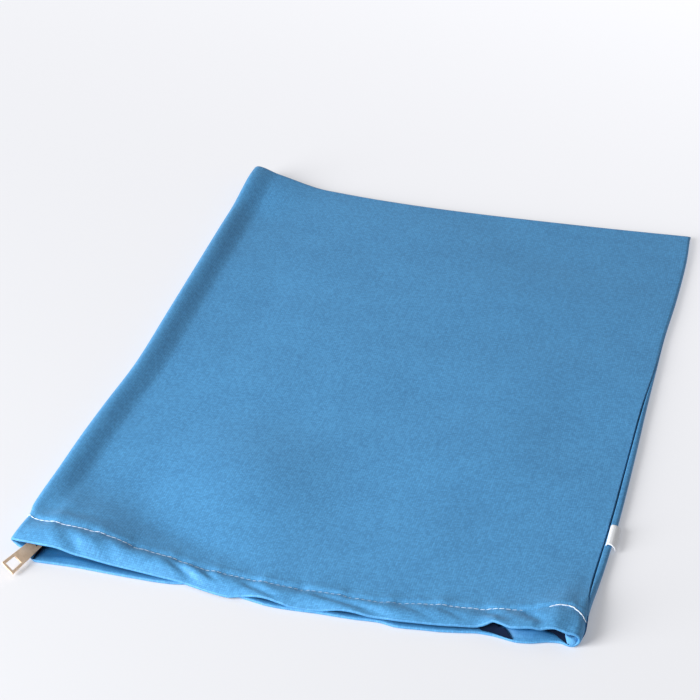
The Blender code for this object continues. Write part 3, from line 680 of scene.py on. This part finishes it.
def line_on(skin, normals, places):
    """Points and normals where a line crosses each column of a skin, places behind the mouth."""
    k = np.clip(np.searchsorted(y_rows, places, "right") - 1, 0, len(y_rows) - 2)
    share = ((places - y_rows[k]) / (y_rows[k + 1] - y_rows[k]))[:, None]
    column = np.arange(skin.shape[1])
    points = mix(skin[k, column], skin[k + 1, column], share)
    return points, mix(normals[k, column], normals[k + 1, column], share)


def add_stitches(bm, points, normals, under):
    """Thread grains along a line of points, each lying in the line's direction."""
    steps = np.linalg.norm(np.diff(points, axis=0), axis=1)
    far = np.concatenate([[0.0], np.cumsum(steps)])
    for middle in np.arange(STITCH_PITCH, far[-1] - STITCH_PITCH / 2, STITCH_PITCH):
        place, ahead, out = (
            Vector([np.interp(at, far, source[:, axis]) for axis in range(3)])
            for at, source in ((middle, points), (middle + 0.5, points), (middle, normals))
        )
        tangent = (ahead - place).normalized()
        side = out.cross(tangent).normalized()
        out = tangent.cross(side)
        girth = float(curve(SHOW_COLUMNS, STITCH_SHOW, "girth", place.x))
        proud = 0.0 if under else float(curve(SHOW_COLUMNS, STITCH_SHOW, "proud", place.x))
        centre = place + out * proud - Vector((0, MOUTH_TO_ORIGIN, 0))
        turn = Matrix((tangent, side, out)).transposed()
        turn = turn @ Matrix.Rotation(math.radians(STITCH_SLANT), 3, "Z")
        grain = turn @ Matrix.Diagonal(STITCH_HALF) @ Matrix.Diagonal((girth ** 0.6, girth, girth))
        grain = (grain @ Matrix.Rotation(math.radians(90), 3, "Y")).to_4x4()
        bmesh.ops.create_uvsphere(bm, u_segments=6, v_segments=5, radius=MM,
                                  matrix=Matrix.Translation(centre * MM) @ grain)


def mesh_object(name, bm, finish, smooth=True):
    """The bmesh as an object of the bag."""
    for face in bm.faces:
        face.smooth = smooth
    mesh = bpy.data.meshes.new(name)
    bm.to_mesh(mesh)
    bm.free()
    mesh.materials.append(finish)
    made = bpy.data.objects.new(name, mesh)
    bpy.context.scene.collection.objects.link(made)
    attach(made, "root")
    return made


stitch_bm = bmesh.new()
add_stitches(stitch_bm, *line_on(upper_skin, upper_normal, stitch_path), under=False)
under_path = np.full(lower_skin.shape[1], HEM_DEPTH)
add_stitches(stitch_bm, *line_on(lower_skin, lower_normal, under_path), under=True)
thread, thread_tree, thread_shader = new_material("pale_polyester_thread", Roughness=0.5, Sheen_Weight=0.3)
thread_shader.inputs["Base Color"].default_value = linear("#D3E3F4")
ply = add_node(thread_tree, "ShaderNodeTexNoise", {}, Scale=2500.0, Detail=1.0,
               Vector=add_node(thread_tree, "ShaderNodeTexCoord").outputs["Object"])
ply_bump = add_node(thread_tree, "ShaderNodeBump", {}, Strength=0.4, Distance=0.05 * MM,
                    Height=ply.outputs[0])
thread_tree.links.new(ply_bump.outputs[0], thread_shader.inputs["Normal"])
stitching = mesh_object("hem_stitching", stitch_bm, thread)

# The side label: a bare white woven tape, folded once and caught in the right seam. It comes
# up out of the seam and bends down over the bag's edge.
LABEL_Y = (85.6, 102.6)
LABEL_ROUTE = [  # x, z out of the seam and down over the edge
    (148.6, 3.2), (148.8, 4.1), (149.3, 4.75), (150.2, 4.9), (151.4, 4.7),
    (152.4, 4.1), (153.2, 3.2), (153.6, 2.2), (153.75, 1.4),
]
LABEL_THICKNESS = 0.45
LABEL_RIB_PITCH = 0.55
LABEL_SLACK, LABEL_WAVE = 0.35, 0.12
LABEL_FLARE, LABEL_LEAN = 0.8, 0.5
route = np.array(LABEL_ROUTE)
route_far = np.concatenate([[0.0], np.cumsum(np.linalg.norm(np.diff(route, axis=0), axis=1))])
label_bm = bmesh.new()
bmesh.ops.create_grid(label_bm, x_segments=28, y_segments=22, size=0.5)
label_uv = label_bm.loops.layers.uv.new("weave")
label_spot = {}
for vert in label_bm.verts:
    across, down = vert.co.x + 0.5, vert.co.y + 0.5
    far = across * route_far[-1]
    slack = LABEL_SLACK * math.sin(math.pi * down) * ease(across)
    x = np.interp(far, route_far, route[:, 0]) + slack
    y = mix(*LABEL_Y, down) + LABEL_FLARE * across * (down - 0.5) - LABEL_LEAN * across
    z = np.interp(far, route_far, route[:, 1]) + LABEL_WAVE * math.sin(7 * down) * across
    label_spot[vert] = (far, down * (LABEL_Y[1] - LABEL_Y[0]))
    vert.co = Vector((x, y - MOUTH_TO_ORIGIN, z)) * MM
for face in label_bm.faces:
    for loop in face.loops:
        loop[label_uv].uv = label_spot[loop.vert]
white_tape, tape_tree, tape_shader = new_material("white_woven_tape", Roughness=0.6, Sheen_Weight=0.2)
tape_uv = add_node(tape_tree, "ShaderNodeUVMap", {"uv_map": "weave"}).outputs[0]
ribs = woven_height(tape_tree, tape_uv, LABEL_RIB_PITCH)
tape_color = add_node(tape_tree, "ShaderNodeMapRange", {"data_type": "FLOAT_VECTOR"}, Vector=ribs,
                      _9=linear("#D9DDE4")[:3], _10=linear("#F3F5F8")[:3])
tape_tree.links.new(tape_color.outputs[1], tape_shader.inputs["Base Color"])
tape_bump = add_node(tape_tree, "ShaderNodeBump", {}, Strength=0.4, Distance=0.06 * MM, Height=ribs)
tape_tree.links.new(tape_bump.outputs[0], tape_shader.inputs["Normal"])
side_label = mesh_object("side_label_tape", label_bm, white_tape)
label_wall = side_label.modifiers.new("two_layers", "SOLIDIFY")
label_wall.thickness = LABEL_THICKNESS * MM
label_wall.offset = 0.0
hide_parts("side_label")

# The zip's tapes: two strips of fine woven navy tape, sewn behind the lips along the hem's
# stitching. They meet at the teeth in a V that opens backwards.
ZIP_LEFT, ZIP_RIGHT = -139.0, 130.0
TEETH_LEFT = -129.0
TEETH_FRONT, TEETH_BACK = 9.2, 11.6
TAPE_FRONT, TAPE_BACK = 11.9, 19.0
TAPE_RIB_PITCH = 0.6
TAPE_OFF_CLOTH, TAPE_OFF_MIDDLE = 0.2, 0.25
SLIDER_DETOUR = 3.6  # how far the tapes' front edge goes round the slider
ZIP_CLEARANCE = 0.3
SLOPE_ROOM = 0.08


def mouth_gap(x, y):
    """The lowest and highest place for a zip part between the two hems."""
    x, y = np.asarray(x, float), np.asarray(y, float)
    top = height_at(x, y)
    room = ZIP_CLEARANCE + SLOPE_ROOM * (top - BODY_HEIGHT)
    return layers_at(y) + ZIP_CLEARANCE, top - layers_at(y) - room


zip_x = np.linspace(ZIP_LEFT, ZIP_RIGHT, 140)[None, :]
tape_share = np.linspace(0.0, 1.0, 9)[:, None]
tape_front = TAPE_FRONT + SLIDER_DETOUR * ease((TEETH_LEFT + 2.0 - zip_x) / 5.0)
tape_y = mix(tape_front, TAPE_BACK, tape_share)
gap_low, gap_high = mouth_gap(zip_x, np.full_like(zip_x, TAPE_BACK))
gap_middle = (gap_low + gap_high) / 2
tapes = []
for name, sewn, at_teeth in (
        ("upper", gap_high - TAPE_OFF_CLOTH, gap_middle + TAPE_OFF_MIDDLE),
        ("lower", gap_low + TAPE_OFF_CLOTH, gap_middle - TAPE_OFF_MIDDLE)):
    tape_z = mix(at_teeth, sewn, ease(tape_share))
    tape_points = np.stack(np.broadcast_arrays(zip_x, true_y(zip_x, tape_y, 1.0), tape_z), axis=-1)
    tapes.append(cloth_object("zip_tape_" + name, tape_points))
# The tape is a near-black navy: its navy dye, darkened further as painted shade for the strips that stand
# in the mouth's openings.
tape_cloth_dark_as_shade, cloth_tree, cloth_shader = new_material("navy_zip_tape_darkened_as_shade", Roughness=0.9)
cloth_shader.inputs["Specular IOR Level"].default_value = 0.1
cloth_uv = add_node(cloth_tree, "ShaderNodeUVMap", {"uv_map": "weave"}).outputs[0]
twill = woven_height(cloth_tree, cloth_uv, TAPE_RIB_PITCH)
twill_color = add_node(cloth_tree, "ShaderNodeMapRange", {"data_type": "FLOAT_VECTOR"}, Vector=twill,
                       _9=linear("#050E1E")[:3], _10=linear("#0A1A34")[:3])
cloth_tree.links.new(twill_color.outputs[1], cloth_shader.inputs["Base Color"])
for tape in tapes:
    tape.data.materials.append(tape_cloth_dark_as_shade)
    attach(tape, "root")
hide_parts("zip_tape")

# The tapes' loose ends: the same navy tape past the end of the teeth, put in as painted shade.
# They fold up from the lower hem to the upper lip and stand as dark strips in the mouth's small
# openings, where there is only shade.
SHADE_STRIP_COLUMNS = ("x", "front", "back")
SHADE_STRIPS = [  # the opening left of the raised lower lip, then the one right of it
    [(92.0, 8.0, 8.6), (97.0, 3.6, 8.6), (100.0, 1.2, 8.6), (102.0, 1.0, 7.8), (104.5, 0.6, 5.6),
     (108.0, 0.2, 3.6), (112.0, 0.0, 2.0), (116.0, 0.0, 0.4)],
    [(126.0, 7.9, 8.6), (129.0, 6.0, 8.6), (132.0, 4.2, 8.6), (135.5, 2.7, 8.6), (139.0, 1.2, 8.8),
     (141.5, 0.2, 9.0), (143.5, -0.3, 9.4)],
]
SHADE_STRIP_DEPTH = (1.0, 8.6)
SHADE_STRIP_OFF_BULGE = 0.35
SHADE_STRIP_LOOKS_BACK = 1.3  # how far behind itself a strip clears the lower lip's bulge
end_share = np.linspace(0.0, 1.0, 15)[:, None]
for name, rows in (("left", SHADE_STRIPS[0]), ("right", SHADE_STRIPS[1])):
    end_x = np.linspace(rows[0][0], rows[-1][0], 70)[None, :]
    front, back = (curve(SHADE_STRIP_COLUMNS, rows, column, end_x) for column in ("front", "back"))
    end_y = mix(front, back, end_share)
    depth = (end_y - SHADE_STRIP_DEPTH[0]) / (SHADE_STRIP_DEPTH[1] - SHADE_STRIP_DEPTH[0])
    end_z = mix(LIP_FOLD + ZIP_CLEARANCE, mouth("gap_top", end_x) - 0.5, np.clip(depth, 0.0, 1.0) ** 0.8)
    swollen = np.maximum(lower_bulge(end_x, end_y), lower_bulge(end_x, end_y + SHADE_STRIP_LOOKS_BACK))
    end_z = np.maximum(end_z, layers_at(end_y) + swollen + SHADE_STRIP_OFF_BULGE)
    end_z = np.minimum(end_z, height_at(end_x, end_y) - layers_at(end_y) - TAPE_OFF_CLOTH)
    end_true_y = true_y(end_x, end_y, np.clip(depth, 0.0, 1.0))
    end_points = np.stack(np.broadcast_arrays(end_x, end_true_y, end_z), axis=-1)
    shade_strip = cloth_object("painted_shade_strip_" + name, end_points)
    shade_strip.data.materials.append(tape_cloth_dark_as_shade)
    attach(shade_strip, "root")

# Painted shade beside the pull: one more loose end of the dark tape lies on the lower hem at the
# left corner, and shows as a narrow dark strip where the gap beside the pull is in shade.
CORNER_SHADE_STRIP_REACH = (0.3, 12.5)
CORNER_SHADE_STRIP_LIFT = 0.45
CORNER_SHADE_STRIP_SIDES = ((-137.5, 0.13), (-135.1, 0.09))  # x at the mouth, lean
corner_y = np.linspace(*CORNER_SHADE_STRIP_REACH, 25)[:, None]
corner_sides = [x + lean * corner_y for x, lean in CORNER_SHADE_STRIP_SIDES]
corner_x = mix(*corner_sides, np.linspace(0.0, 1.0, 5)[None, :])
corner_z = layers_at(corner_y) + CORNER_SHADE_STRIP_LIFT + np.zeros_like(corner_x)
corner_points = np.stack([corner_x, true_y(corner_x, corner_y, 0.0), corner_z], axis=-1)
corner_shade_strip = cloth_object("painted_shade_strip_corner", corner_points)
corner_shade_strip.data.materials.append(tape_cloth_dark_as_shade)
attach(corner_shade_strip, "root")

# The zip's teeth: small nickel-plated zinc teeth clamped on both tapes, 1.5 mm apart and
# meshed, so that the zip is closed.
TOOTH_PITCH = 1.5
TOOTH_SIZE = (0.95, 1.5, 1.5)
TOOTH_ROUNDING = 0.18
TOOTH_OFF_LINE = 0.45
TOOTH_OFF_HEM = 0.9
teeth_bm = bmesh.new()
tooth_x = TEETH_LEFT + TOOTH_PITCH
while tooth_x < ZIP_RIGHT - 1.0:
    for side, shift in ((-TOOTH_OFF_LINE, 0.0), (TOOTH_OFF_LINE, TOOTH_PITCH / 2)):
        x = tooth_x + shift
        low, high = mouth_gap(x, TAPE_BACK)
        z = max((low + high) / 2, mouth_gap(x, TEETH_FRONT)[0] + TOOTH_OFF_HEM)
        y = true_y(np.array(x), np.array((TEETH_FRONT + TEETH_BACK) / 2), 1.0) + side
        tooth = bmesh.ops.create_cube(teeth_bm, size=MM)["verts"]
        bmesh.ops.scale(teeth_bm, vec=Vector(TOOTH_SIZE), verts=tooth)
        bmesh.ops.translate(teeth_bm, vec=Vector((x, y - MOUTH_TO_ORIGIN, z)) * MM, verts=tooth)
    tooth_x += TOOTH_PITCH
bmesh.ops.bevel(teeth_bm, geom=teeth_bm.edges[:], offset=TOOTH_ROUNDING * MM, segments=1,
                profile=0.5, affect="EDGES", material=-1)

# Nickel-plated zinc, tumbled to a soft warm sheen: fine scratches along the pull, and darker
# where the plating has rubbed. Its pale warm colour is the plating's own tone, made lighter as
# painted light on the pull's face, which turns away from the lamp.
nickel, nickel_tree, nickel_shader = new_material("nickel_plated_zinc", Metallic=0.4, Roughness=0.5)
nickel_at = add_node(nickel_tree, "ShaderNodeTexCoord").outputs["Object"]
rubbed = add_node(nickel_tree, "ShaderNodeTexNoise", {}, Vector=nickel_at,
                  Scale=420.0, Detail=4.0, Roughness=0.65)
nickel_and_painted_light = add_node(nickel_tree, "ShaderNodeMapRange", {"data_type": "FLOAT_VECTOR"},
                        Vector=rubbed.outputs[0], _7=(0.3,) * 3, _8=(0.7,) * 3,
                        _9=linear("#DFC0A0")[:3], _10=linear("#F6DCC2")[:3])
nickel_tree.links.new(nickel_and_painted_light.outputs[1], nickel_shader.inputs["Base Color"])
nickel_rough = add_node(nickel_tree, "ShaderNodeMapRange", {}, Value=rubbed.outputs[0],
                        From_Min=0.3, From_Max=0.7, To_Min=0.48, To_Max=0.62)
nickel_tree.links.new(nickel_rough.outputs[0], nickel_shader.inputs["Roughness"])
scratch_at = add_node(nickel_tree, "ShaderNodeMapping", {}, Vector=nickel_at, Scale=(1.0, 0.12, 1.0))
scratches = add_node(nickel_tree, "ShaderNodeTexNoise", {}, Vector=scratch_at.outputs[0],
                     Scale=9000.0, Detail=2.0)
nickel_bump = add_node(nickel_tree, "ShaderNodeBump", {}, Strength=0.25, Distance=0.02 * MM,
                       Height=scratches.outputs[0])
nickel_tree.links.new(nickel_bump.outputs[0], nickel_shader.inputs["Normal"])
teeth = mesh_object("zip_teeth_row", teeth_bm, nickel, smooth=False)
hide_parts("zip_teeth")

# The pull: a flat plate stamped from zinc, 1.1 mm thick, with a square window at its free end
# and a small eye for the slider's staple. It hangs out over the corner and leans on its side.
PULL_TIP = (-144.1, -13.6, 4.05)
PULL_HEADING, PULL_RISE, PULL_ROLL = 17.5, 3.0, 37.0
PULL_SIZE = (8.4, 25.0, 1.1)
PULL_TAPER = 0.26
PULL_WINDOW = (5.2, 1.4, 8.4)  # width, start, end
PULL_EYE = (3.4, 21.8, 23.8)
PULL_CORNER_ROUNDING = 0.7
PULL_RIM_ROUNDING = 0.1
pull_turn = Matrix.Rotation(math.radians(-PULL_HEADING), 4, "Z")
pull_turn @= Matrix.Rotation(math.radians(PULL_RISE), 4, "X")
pull_turn @= Matrix.Rotation(math.radians(PULL_ROLL), 4, "Y")
pull_frame = Matrix.Translation((Vector(PULL_TIP) - Vector((0, MOUTH_TO_ORIGIN, 0))) * MM) @ pull_turn
width, length, thickness = PULL_SIZE
pull_bm = bmesh.new()
bmesh.ops.create_grid(pull_bm, x_segments=1, y_segments=1, size=0.5)
bmesh.ops.scale(pull_bm, vec=Vector((width, length, 1)) * MM, verts=pull_bm.verts)
bmesh.ops.translate(pull_bm, vec=Vector((0, length / 2, -thickness / 2)) * MM, verts=pull_bm.verts)
for hole_width, start, end in (PULL_WINDOW, PULL_EYE):
    cuts = (
        ((0, start), (0, 1)),
        ((0, end), (0, 1)),
        ((hole_width / 2, 0), (1, 0)),
        ((-hole_width / 2, 0), (1, 0)),
    )
    for place, direction in cuts:
        whole = pull_bm.verts[:] + pull_bm.edges[:] + pull_bm.faces[:]
        bmesh.ops.bisect_plane(pull_bm, geom=whole, dist=1e-7,
                               plane_co=Vector((*place, 0)) * MM, plane_no=Vector((*direction, 0)))
holes = []
for face in pull_bm.faces:
    at = face.calc_center_median() / MM
    if any(abs(at.x) < w / 2 and start < at.y < end for w, start, end in (PULL_WINDOW, PULL_EYE)):
        holes.append(face)
bmesh.ops.delete(pull_bm, geom=holes, context="FACES")
bmesh.ops.dissolve_limit(pull_bm, angle_limit=0.01, verts=pull_bm.verts, edges=pull_bm.edges)
for vert in pull_bm.verts:
    vert.co.x *= 1.0 - PULL_TAPER * vert.co.y / (length * MM)
plate = bmesh.ops.extrude_face_region(pull_bm, geom=pull_bm.faces[:], use_keep_orig=True)["geom"]
plate_verts = [part for part in plate if isinstance(part, bmesh.types.BMVert)]
bmesh.ops.translate(pull_bm, vec=Vector((0, 0, thickness)) * MM, verts=plate_verts)
bmesh.ops.recalc_face_normals(pull_bm, faces=pull_bm.faces)
corners = []
for edge in pull_bm.edges:
    upright = abs(edge.verts[0].co.z - edge.verts[1].co.z) > 0.5 * MM
    if upright and abs(edge.verts[0].co.x) > 0.34 * width * MM:
        corners.append(edge)
bmesh.ops.bevel(pull_bm, geom=corners, offset=PULL_CORNER_ROUNDING * MM, segments=4,
                profile=0.5, affect="EDGES", material=-1)
rims = []
for edge in pull_bm.edges:
    if len(edge.link_faces) == 2 and edge.calc_face_angle(0) > math.radians(50):
        rims.append(edge)
bmesh.ops.bevel(pull_bm, geom=rims, offset=PULL_RIM_ROUNDING * MM, segments=2,
                profile=0.5, affect="EDGES", material=-1)
pull_bm.transform(pull_frame)
pull = mesh_object("zip_pull_plate", pull_bm, nickel, smooth=False)
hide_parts("zip_pull")

# The slider: a cast body at the closed end of the teeth, with a bent wire staple through the
# pull's eye. It is hidden behind the corner of the lips.
SLIDER_SIZE = (8.2, 3.2, 5.4)
SLIDER_ROUNDING = 0.8
SLIDER_TILT = 25.0
SLIDER_BEHIND_PULL = 3.2
STAPLE_WIRE, STAPLE_RADIUS = 0.85, 1.55
STAPLE_BAR, STAPLE_LEG = 0.6, 3.6  # its bar from the pull's end, its legs back into the slider
slider_bm = bmesh.new()
slider_place = pull_frame @ (Vector((0, length + SLIDER_BEHIND_PULL, 0)) * MM)
slider_turn = Matrix.Rotation(math.radians(-SLIDER_TILT), 4, "X")
slider_frame = Matrix.Translation(slider_place) @ slider_turn
body = bmesh.ops.create_cube(slider_bm, size=1.0)["verts"]
bmesh.ops.scale(slider_bm, vec=Vector(SLIDER_SIZE) * MM, verts=body)
bmesh.ops.bevel(slider_bm, geom=slider_bm.edges[:], offset=SLIDER_ROUNDING * MM, segments=3,
                profile=0.5, affect="EDGES", material=-1)
slider_bm.transform(slider_frame)
bar_y = length - STAPLE_BAR
leg_y = bar_y + STAPLE_LEG
staple_route = [(leg_y, STAPLE_RADIUS, 90.0)]  # y, z, angle of the wire's outer side
for angle in np.linspace(90.0, 270.0, 13):
    y = bar_y + STAPLE_RADIUS * math.cos(math.radians(angle))
    staple_route.append((y, STAPLE_RADIUS * math.sin(math.radians(angle)), angle))
staple_route.append((leg_y, -STAPLE_RADIUS, 270.0))
loops = []
for y, z, angle in staple_route:
    out = Vector((0, math.cos(math.radians(angle)), math.sin(math.radians(angle))))
    ring = []
    for a in np.linspace(0, 2 * math.pi, 11)[:-1]:
        off = (Vector((math.sin(a), 0, 0)) + out * math.cos(a)) * STAPLE_WIRE / 2
        ring.append(slider_bm.verts.new(pull_frame @ ((Vector((0, y, z)) + off) * MM)))
    loops.append([slider_bm.edges.new((ring[k - 1], ring[k])) for k in range(len(ring))])
for near, far_loop in zip(loops, loops[1:]):
    bmesh.ops.bridge_loops(slider_bm, edges=near + far_loop)
bmesh.ops.recalc_face_normals(slider_bm, faces=slider_bm.faces)
slider = mesh_object("zip_slider_body", slider_bm, nickel)
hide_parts("zip_slider")

# The stage: a plain white table, one soft light a metre across from the front left, and a
# white room. The table's far side glows a little, because it lies out of the light's reach.
TABLE_BELOW = 0.2  # millimetres, so that no face of the bag lies in the table's own
floor_bm = bmesh.new()
bmesh.ops.create_grid(floor_bm, x_segments=1, y_segments=1, size=4.0)
bmesh.ops.translate(floor_bm, vec=Vector((0, 0, -TABLE_BELOW)) * MM, verts=floor_bm.verts)
floor_mesh = bpy.data.meshes.new("table_top")
floor_bm.to_mesh(floor_mesh)
floor_bm.free()
floor = bpy.data.objects.new("table_top", floor_mesh)
bpy.context.scene.collection.objects.link(floor)
white_table, table_tree, table_shader = new_material("painted_white_table", Roughness=0.75)
table_shader.inputs["Base Color"].default_value = linear("#D2D3D7")
table_shader.inputs["Emission Color"].default_value = linear("#F4F4F8")
table_far = add_node(table_tree, "ShaderNodeVectorMath", {"operation": "DISTANCE"},
                     _0=add_node(table_tree, "ShaderNodeTexCoord").outputs["Object"], _1=(-0.9, -1.2, 0.0))
table_glow = add_node(table_tree, "ShaderNodeMapRange", {}, Value=table_far.outputs[1],
                      From_Min=1.15, From_Max=2.1, To_Min=0.03, To_Max=0.66)
table_tree.links.new(table_glow.outputs[0], table_shader.inputs["Emission Strength"])
table_shader.inputs["Specular IOR Level"].default_value = 0.2
floor.data.materials.append(white_table)

world = bpy.data.worlds.new("white_room")
world.use_nodes = True
world.node_tree.nodes["Background"].inputs["Color"].default_value = linear("#F5F5F5")
world.node_tree.nodes["Background"].inputs["Strength"].default_value = 0.38
bpy.context.scene.world = world
bpy.context.scene.view_settings.view_transform = "Standard"


def soft_light(name, place, size, power, tint):
    """A square area light that faces the bag."""
    light = bpy.data.lights.new(name, "AREA")
    light.size = size
    light.energy = power
    light.color = linear(tint)[:3]
    lamp = bpy.data.objects.new(name, light)
    lamp.location = place
    lamp.rotation_euler = (-Vector(place)).to_track_quat("-Z", "Y").to_euler()
    bpy.context.scene.collection.objects.link(lamp)


soft_light("window_left", (-1.04, -1.12, 0.56), 1.05, 54.0, "#FFFFFF")

# The camera stands a little right of the mouth's middle and looks down on the whole bag.
CAMERA_AZIMUTH, CAMERA_ELEVATION, CAMERA_DISTANCE = math.radians(15.0), math.radians(32.0), 1.261
CAMERA_AIM = (-0.031, 0.027, 0.0)
camera_data = bpy.data.cameras.new("camera")
camera_data.lens = 108.0
camera_data.sensor_width = 36.0
camera_data.clip_start = 0.05
camera_data.clip_end = 20.0
camera = bpy.data.objects.new("camera", camera_data)
back_vector = Vector((
    math.sin(CAMERA_AZIMUTH) * math.cos(CAMERA_ELEVATION),
    -math.cos(CAMERA_AZIMUTH) * math.cos(CAMERA_ELEVATION),
    math.sin(CAMERA_ELEVATION),
))
camera.location = Vector(CAMERA_AIM) + back_vector * CAMERA_DISTANCE
camera.rotation_euler = (-back_vector).to_track_quat("-Z", "Y").to_euler()
bpy.context.scene.collection.objects.link(camera)
bpy.context.scene.camera = camera
